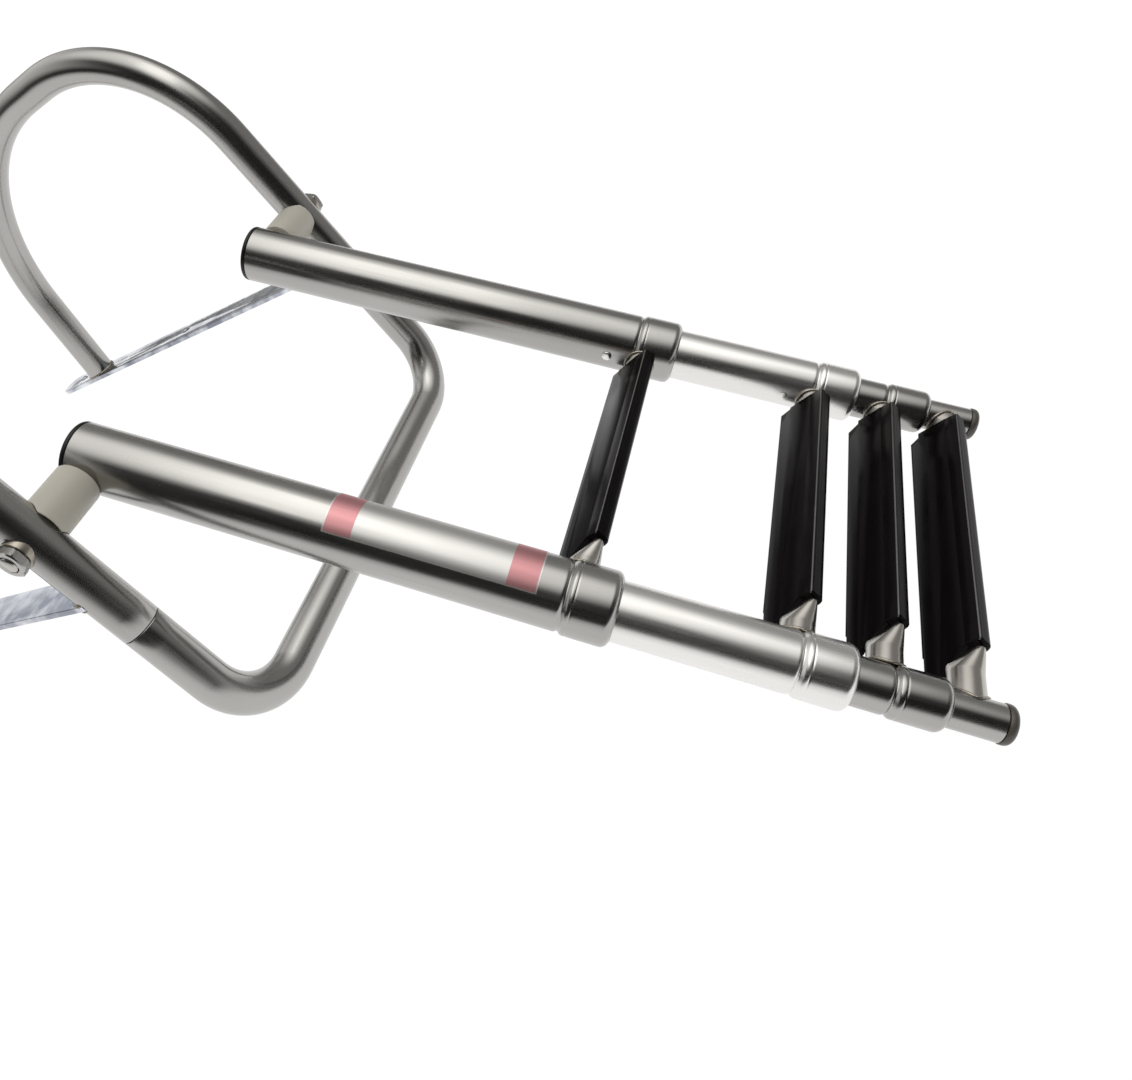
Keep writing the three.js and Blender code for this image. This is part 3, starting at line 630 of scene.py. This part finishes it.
def tread_section():
    """The wrap's outline in (s, n): a ridge, a step behind it, a rounded back, and lips behind the rung."""
    front, back, wall = TREAD["front"], TREAD["back"], TREAD["wall"]
    top, bottom = TREAD["top"], TREAD["bottom"]
    slot = RUNG_FLAT["half_thickness"] + TREAD["play"]
    slot_top = top + wall + TREAD["play"]
    slot_bottom = RUNG_FLAT["offset"] + RUNG_FLAT["half_height"] + TREAD["play"]

    def quarter(s, n, radius, start, steps=6):
        return [(s + radius * math.cos(a), n + radius * math.sin(a))
                for a in (math.radians(start + 90 * i / steps) for i in range(steps + 1))]

    points = quarter(bottom - 1, front - 1, 1.0, 0)
    points += [(6, front), (0, front), (top + 6, front), (top + 4, front - 0.1), (top + 2.2, front - 0.35)]
    points += quarter(top + 0.7, front - 1.15, 0.7, 90, 4)
    points += [(top + 0.1, front - 3.2), (top + 0.5, front - 3.6), (top + 0.5, front - 4.4)]
    points += quarter(top + 0.5 + 4.2, back + 4.2, 4.2, 180)
    points += [(-4.0, back), (-4.0, back + wall), (slot_top, back + wall), (slot_top, slot),
               (slot_bottom, slot), (slot_bottom, back + wall), (9.0, back + wall), (9.0, back)]
    points += quarter(bottom - 1, back + 1, 1.0, 270)
    return points


def drawn_in(section, amount):
    """A section pulled in a little, for the wrap's rounded ends."""
    middle = Vector((2.3, 0.75))
    out = []
    for s, m in section:
        ds, dm = s - middle.x, m - middle.y
        out.append((s - math.copysign(min(abs(ds), amount), ds),
                    m - math.copysign(min(abs(dm), amount * 0.6), dm)))
    return out


def wing_outline(n):
    """The step face's outline in (x, s), its corners softened, with a notch under the rung's left end."""
    top, lower = TREAD["top"], TREAD["bottom"] - 0.9
    half, corner, rise, left = WING_HALF[n], WING_CORNER[n], WING_CORNER_RISE[n], RUNG_LEFT[n]
    shoulder, chamfer = WING["top"], WING["top_corner"]
    notch = notch_top(n)
    points = [(RUNG_FLAT["right"] - 3, top + 7.5), (RUNG_FLAT["right"] + 0.3, top + 8.0)]
    points += [(half - chamfer - 1.6, shoulder - 4.4), (half - chamfer, shoulder - chamfer)]
    points += [(half - 0.8, shoulder - 1.0), (half, shoulder + 0.4), (half, lower - rise)]
    points += [(half - 0.16 * corner, lower - 0.72 * rise), (half - 0.8 * corner, lower - 0.06 * rise)]
    points += [(half - 1.2 * corner, lower), (-half + 1.2 * corner, lower)]
    points += [(-half + 0.8 * corner, lower - 0.06 * rise), (-half + 0.16 * corner, lower - 0.72 * rise)]
    points += [(-half, notch + 1.2), (-half - 0.2, notch + 0.5), (-half - 0.7, notch + 0.1)]
    return points + [(left - 0.05, notch - 0.2), (left - 0.05, top + 8.0), (left + 3, top + 7.5)]


def notch_top(n):
    below_rung = RUNG_FLAT["offset"] + RUNG_FLAT["half_height"] + TREAD["play"]
    return min(TREAD["bottom"] - 1.4 - WING_CORNER_RISE[n], below_rung)


def build_tread(n):
    """The step: a wrap round the flattened rung, and a face that runs past it towards the rails as wings."""
    name, body = f"step_{n + 1}", f"section_{n + 1}"
    section = tread_section()
    left, right = RUNG_LEFT[n], RUNG_FLAT["right"]
    stations = [(left, 1.0), (left + 0.35, 0.45), (left + 1.1, 0.0)]
    stations += [(left + 12 + i * (right - left - 24) / 10, 0.0) for i in range(11)]
    stations += [(right - 1.1, 0.0), (right - 0.35, 0.45), (right, 1.0)]
    edit = bmesh.new()
    # The wrap's part below the rung stops short of the left end, at the wing.
    wrap_end = -WING_HALF[n] + 0.2
    rings = [[edit.verts.new(LADDER @ on_face(max(x, wrap_end) if s > notch_top(n) else x, s, m, n))
              for s, m in drawn_in(section, a)] for x, a in stations]
    count = len(section)
    # The ridge's faces take a lighter, glossier plastic: a painted highlight line.
    ridge_s, ridge_m = TREAD["top"] + 2.0, TREAD["front"] - 1.0
    for first, second in zip(rings, rings[1:]):
        for i in range(count):
            j = (i + 1) % count
            face = edit.faces.new((first[i], first[j], second[j], second[i]))
            on_ridge = all(s < ridge_s and m > ridge_m for s, m in (section[i], section[j]))
            face.material_index = 1 if on_ridge else 0
    edit.faces.new(rings[0])
    edit.faces.new(reversed(rings[-1]))

    # The face plate stands a hair proud of the wrap, with its edges rounded.
    outline = wing_outline(n)
    front = TREAD["front"] + 0.02
    round_off = 0.55
    centre_s = 8.0

    def plate_ring(inset, level):
        ring = []
        for x, s in outline:
            ring.append(edit.verts.new(LADDER @ on_face(
                x - math.copysign(inset, x), s - math.copysign(inset, s - centre_s), level, n)))
        return ring

    back = RUNG_FLAT["half_thickness"] + TREAD["play"] + 0.1
    levels = [(0.4, back), (0.0, back + 0.4), (0.0, front - round_off), (0.16, front - 0.16)]
    levels.append((round_off, front))
    plates = [plate_ring(inset, level) for inset, level in levels]
    for first, second in zip(plates, plates[1:]):
        for i in range(len(outline)):
            j = (i + 1) % len(outline)
            edit.faces.new((first[i], first[j], second[j], second[i]))
    edit.faces.new(list(reversed(plates[0])))
    edit.faces.new(plates[-1])
    uv = edit.loops.layers.uv.new("UVMap")
    for face in edit.faces:
        for loop in face.loops:
            loop[uv].uv = (loop.vert.co.x, loop.vert.co.z + loop.vert.co.y)
    mesh = bpy.data.meshes.new(name)
    step = finished(name, mesh, edit, BLACK, body, [f"tread_{n + 1}"], 28)
    step.data.materials.append(PAINTED_HIGHLIGHT_PLASTIC)


# ------------------------------------------------------------------ caps, rivets and hinge fasteners
def build_top_cap(side):
    radius, rim, round_r = RAIL_R[0], TOP_CAP["rim"], TOP_CAP["round_r"]
    top = RAIL_TOP[0] - rim
    profile = [(0, top + 0.1), (radius * 0.45, top + 0.04), (radius - round_r - 2.4, top + 0.02)]
    profile += [(radius - round_r + round_r * math.sin(a), top + round_r - round_r * math.cos(a))
                for a in (math.radians(90 * i / 7) for i in range(8))]
    base = RAIL_TOP[0] - 0.25
    skirt = base + 3.25
    profile += [(radius, base - 0.25), (radius - 0.25, base), (radius - 1.6, base), (radius - 1.6, skirt),
                (radius - 2.6, skirt), (radius - 2.6, base), (0, base)]
    rings = sided(turned(profile, RAIL_X), side)
    solid(f"lid_{side}", rings, LADDER, LID, "section_1", [f"top_cap_{side}"], 45)


def build_end_cap(side):
    rim, length, round_r = END_CAP["rim_r"], END_CAP["length"], END_CAP["round_r"]
    end = LAST_RAIL_END + length
    face = LAST_RAIL_END + 0.3
    profile = [(0, face - 8.3), (7.8, face - 8.3), (7.8, face), (rim - 0.3, face), (rim, face + 0.4)]
    profile += arc(rim - round_r, end - round_r, round_r, 0, 90, 9) + [(rim * 0.35, end - 0.03), (0, end)]
    rings = sided(turned(profile, RAIL_X), side)
    solid(f"foot_plug_{side}", rings, LADDER, CAP, "section_4", [f"end_cap_{side}"], 45)


def along_x(profile, y=0.0, z=0.0, sides=48):
    """Rings of [radius, x] pairs round a line along x."""
    return [
        [(x, y + max(r, 0.02) * math.cos(a), z + max(r, 0.02) * math.sin(a))
         for a in (2 * math.pi * i / sides for i in range(sides))]
        for r, x in profile
    ]


def build_rivet(n, side):
    """A shallow rivet on the inner side of a rail, above its collar."""
    head_r = RIVET["head_r"] if n == 0 else 2.4
    # Those on the sliding sections are nearly flush, to pass through the collars.
    height, inner = (RIVET["head_height"], RAIL_X - RAIL_R[0] - 0.3) if n == 0 else (0.2, RAIL_X - RAIL_R[n])
    profile = [(0, inner - height)]
    profile += [(head_r * math.sin(a), inner - height * math.cos(a))
                for a in (math.radians(10 * i) for i in range(1, 10))]
    profile += [(head_r, inner + 0.6), (2.0, inner + 0.8), (2.0, inner + 1.2), (0, inner + 1.2)]
    rings = sided(along_x(profile, GROOVE_AT[n] - RIVET["uphill"], 0, 32), side)
    # The rivets take the lighter steel, a painted highlight.
    solid(f"rivet_{n + 1}_{side}", rings, LADDER, PAINTED_HIGHLIGHT_STEEL, f"section_{n + 1}",
          [f"bushing_rivet_{side}"] if n == 0 else (), 45)


def build_label():
    """A plain film wrapped on the right-hand rail, with a coloured block at each end and no lettering."""
    def patch(name, radius, first_y, last_y, first_deg, last_deg, material):
        steps, thick = 28, 0.06
        angles = [math.radians(first_deg + (last_deg - first_deg) * i / steps) for i in range(steps + 1)]
        rings = []
        count = max(2, round((last_y - first_y) / 6))
        for k in range(count + 1):
            y = first_y + (last_y - first_y) * k / count
            top = radius + thick
            outer = [(RAIL_X + top * math.cos(a), y, top * math.sin(a)) for a in angles]
            inner = [(RAIL_X + radius * math.cos(a), y, radius * math.sin(a)) for a in reversed(angles)]
            rings.append(outer + inner)
        solid(name, rings, LADDER, material, "section_1", (), 40, "strip")

    surface = RAIL_R[0] + 0.02
    first_y, last_y, low, high = LABEL["from"], LABEL["to"], LABEL["low_deg"], LABEL["high_deg"]
    patch("label_film", surface, first_y, last_y, low, high, FILM)
    for k, y in enumerate((first_y + 0.8, last_y - LABEL["block"] - 0.8)):
        patch(f"label_block_{k + 1}", surface + 0.07, y, y + LABEL["block"], low + 2, high - 2, RED_FILM)


def saddle_ring(radius, saddle, side_sign, out=0.0):
    """A ring round the pivot that lies on the leg's tube, at most saddle short of the tube's centre."""
    ring = []
    lean = math.radians(LEG_TILT)
    for i in range(SIDES):
        a = 2 * math.pi * i / SIDES
        y, z = radius * math.cos(a), radius * math.sin(a)
        off_axis = min(abs(y * math.cos(lean) + z * math.sin(lean)), TUBE_R)
        reach = max(math.sqrt((TUBE_R + 0.15) ** 2 - off_axis ** 2), saddle)
        ring.append((HALF_TRACK + side_sign * (reach + out), y, z))
    return ring


def build_spacer(side):
    """A nylon spacer, saddled on the leg, with a flat end that the rail turns against."""
    r, face = SPACER["r"], RAIL_X + RAIL_R[0] + 0.15
    profile = [(5.4, face), (r - 0.9, face), (r - 0.3, face + 0.25), (r, face + 0.9), (r, face + 8)]
    rings = along_x(profile, sides=SIDES)
    rings += [saddle_ring(r, SPACER["saddle"], -1, 0.4), saddle_ring(r - 0.4, SPACER["saddle"], -1)]
    rings += [saddle_ring(5.4, SPACER["saddle"], -1)]
    place = PLATES @ Matrix.Translation(pivot_on_leg)
    solid(f"spacer_{side}", sided(rings, side), place, NYLON, "frame", [f"pivot_spacer_{side}"], 40)


def build_washer(side):
    """A small steel saddle washer between the leg and the nut; its darker weld steel is partly painted shade for
    the gap there.
    """
    r, outer = WASHER["r"], HALF_TRACK + TUBE_R + WASHER["thickness"] - 0.1
    rings = [saddle_ring(5.6, WASHER["saddle"], 1), saddle_ring(r - 0.4, WASHER["saddle"], 1)]
    rings += [saddle_ring(r, WASHER["saddle"], 1, 0.4)]
    rings += along_x([(r, outer - 0.7), (r - 0.2, outer - 0.2), (r - 0.7, outer), (5.6, outer)], sides=SIDES)
    place = PLATES @ Matrix.Translation(pivot_on_leg)
    # Darker weld steel: painted shade in the gap between the nut and the leg.
    solid(f"saddle_washer_{side}", sided(rings, side), place, WELD, "frame", [f"pivot_washer_{side}"],
          40)


def build_nut(side):
    """A hexagon nut with chamfered corners, and the bolt's threaded end in it."""
    start = HALF_TRACK + TUBE_R + WASHER["thickness"]
    thick = NUT["thickness"]
    flat_r = NUT["across_flats"] / 2
    corner_r = flat_r / math.cos(math.pi / 6)
    place = PLATES @ Matrix.Translation(pivot_on_leg)

    def hex_ring(limit, x):
        ring = []
        for i in range(72):
            a = 2 * math.pi * i / 72
            to_flat = flat_r / math.cos((a + math.pi / 6) % (math.pi / 3) - math.pi / 6)
            r = min(to_flat, limit)
            ring.append((x, r * math.cos(a), r * math.sin(a)))
        return ring

    rings = [hex_ring(5.3, start + 1.0), hex_ring(5.3, start + 0.05), hex_ring(flat_r - 0.2, start + 0.05)]
    end = start + thick
    rings += [hex_ring(corner_r - 0.6, start + 0.6), hex_ring(corner_r, start + 1.2)]
    rings.append(hex_ring(corner_r, end - 1.2))
    rings += [hex_ring(corner_r - 0.6, end - 0.6), hex_ring(flat_r - 0.2, end), hex_ring(5.9, end)]
    rings += [hex_ring(5.3, start + thick - 0.6), hex_ring(5.3, start + thick - 3)]
    solid(f"hex_nut_{side}", sided(rings, side), place, STEEL, "frame", [f"pivot_nut_{side}"],
          25)

    shank = [(0, RAIL_X + 8.2 + 0.6), (7.2, RAIL_X + 8.2), (8.1, RAIL_X + 8.5), (8.5, RAIL_X + 9.2),
             (8.5, RAIL_X + 12.6),
             (8.1, RAIL_X + 13.2), (BOLT_R, RAIL_X + 13.2), (BOLT_R, start - 2)]
    pitch = 1.5
    end = start + thick + NUT["thread_past"]
    x = start - 2 + pitch / 2
    while x < end - 1.2:
        shank += [(BOLT_R - 0.7, x), (BOLT_R, x + pitch / 2)]
        x += pitch
    shank += [(BOLT_R - 0.3, end - 0.6), (BOLT_R - 1.1, end), (0, end)]
    solid(f"bolt_{side}", sided(along_x(shank), side), place, RUNG_STEEL, "frame", [f"pivot_bolt_{side}"],
          40)


# ------------------------------------------------------------------ build the object
for side in ("right", "left"):
    build_handrail(side)
    build_plate(side)
    build_frame_welds(side)
    build_top_cap(side)
    build_end_cap(side)
    for n in range(3):
        build_rivet(n, side)
    build_spacer(side)
    build_washer(side)
    build_nut(side)
build_lower_tube()
build_label()
for n in range(4):
    build_rails(n)
    build_rung(n)
    build_tread(n)

SLOT_MATERIAL = {
    "polished_steel": STEEL, "mirror_steel": MIRROR, "black_plastic": BLACK,
    "cap_plastic": CAP, "nylon": NYLON,
}
for part in frame["record"]["subparts"]:
    node = frame["nodes"][part["node"]]
    node.data.materials.clear()
    node.data.materials.append(SLOT_MATERIAL[part["material_slot"]])


# ------------------------------------------------------------------ studio
def build_floor():
    """A white floor that falls off to dark on the side past the right-hand rail."""
    material, nodes, links, shader = new_material("floor_white")
    place = add(nodes, "ShaderNodeTexCoord")
    axes = add(nodes, "ShaderNodeSeparateXYZ")
    links.new(place.outputs["Object"], axes.inputs["Vector"])
    lit = remapped(nodes, links, axes.outputs["X"], 1.0, 0.0, FLOOR_FADE[0], FLOOR_FADE[1])
    pale = mixed_colour(nodes, links, lit, (0.01, 0.01, 0.01), (0.06, 0.06, 0.06))
    links.new(pale, shader.inputs["Base Color"])
    glow = add(nodes, "ShaderNodeMath", operation="MULTIPLY")
    glow.inputs[1].default_value = 0.98
    links.new(lit, glow.inputs[0])
    links.new(glow.outputs[0], shader.inputs["Emission Strength"])
    shader.inputs["Roughness"].default_value = 0.9
    shader.inputs["Specular IOR Level"].default_value = 0.1
    shader.inputs["Emission Color"].default_value = (1, 1, 1, 1)
    mesh = bpy.data.meshes.new("floor")
    edit = bmesh.new()
    bmesh.ops.create_circle(edit, cap_ends=True, radius=5, segments=96)
    edit.to_mesh(mesh)
    edit.free()
    mesh.materials.append(material)
    floor = bpy.data.objects.new("floor", mesh)
    bpy.context.scene.collection.objects.link(floor)


def build_world():
    """A soft studio dome: brightest overhead, and dark low down on the side past the right-hand rail."""
    world = bpy.data.worlds.new("studio")
    world.use_nodes = True
    nodes, links = world.node_tree.nodes, world.node_tree.links
    place = add(nodes, "ShaderNodeTexCoord")
    axes = add(nodes, "ShaderNodeSeparateXYZ")
    links.new(place.outputs["Generated"], axes.inputs["Vector"])

    def combined(operation, first, second, third=None):
        node = add(nodes, "ShaderNodeMath", operation=operation)
        for slot, value in zip(node.inputs, (first, second, third)):
            if isinstance(value, (int, float)):
                slot.default_value = value
            elif value is not None:
                links.new(value, slot)
        return node.outputs[0]

    toward = combined("MULTIPLY_ADD", axes.outputs["X"], math.sin(DOME["lean"]), combined(
        "MULTIPLY", axes.outputs["Z"], math.cos(DOME["lean"])))
    overhead = remapped(nodes, links, toward, 0.0, DOME["peak"], *DOME["edge"])
    overhead.node.interpolation_type = "SMOOTHSTEP"
    sides = remapped(nodes, links, axes.outputs["X"], DOME["left"], DOME["right"], -0.3, 0.3)
    behind = remapped(nodes, links, axes.outputs["Y"], 0.0, DOME["back"], -0.45, -0.8)
    above = remapped(nodes, links, axes.outputs["Z"], 0.0, 1.0, 0.1, 0.4)
    brightness = combined("ADD", overhead, combined("MULTIPLY_ADD", behind, above, sides))
    background = nodes["Background"]
    background.inputs["Color"].default_value = (1.0, 0.985, 0.96, 1)
    links.new(brightness, background.inputs["Strength"])
    bpy.context.scene.world = world


def area_light(name, location, aim, size, power, colour=(1, 1, 1)):
    light = bpy.data.lights.new(name, "AREA")
    light.shape, light.size, light.size_y = "RECTANGLE", *size
    light.energy, light.color = power, colour
    lamp = bpy.data.objects.new(name, light)
    lamp.location = location
    lamp.rotation_euler = (Vector(aim) - Vector(location)).to_track_quat("-Z", "Y").to_euler()
    bpy.context.scene.collection.objects.link(lamp)
    return lamp


FLOOR_FADE = (0.38, 1.6)
DOME = {"lean": math.radians(-4), "edge": (0.64, 0.97), "peak": 1.33, "left": 0.3, "right": 0.02, "back": 0.8}
build_floor()
build_world()
area_light("overhead", (0.1, 0.1, 1.45), (0.0, 0.1, 0.1), (0.5, 1.6), 2.4, (1.0, 0.985, 0.96))
area_light("plate_card", (-0.45, -1.9, 0.3), (0, -0.3, 0.05), (0.8, 0.6), 0.9, (0.93, 0.96, 1.0))

bpy.context.scene.view_settings.view_transform = "Standard"

camera = bpy.data.objects.new("camera", bpy.data.cameras.new("camera"))
camera.data.sensor_width = 36
camera.data.lens = 29.25
camera.data.shift_x, camera.data.shift_y = 0.1154, -0.0633
camera.data.clip_start = 0.01
camera.location = (0.3995, 0.3198, 0.4326)
camera.rotation_euler = [math.radians(a) for a in (49.851, 14.596, 108.786)]
bpy.context.scene.collection.objects.link(camera)
bpy.context.scene.camera = camera
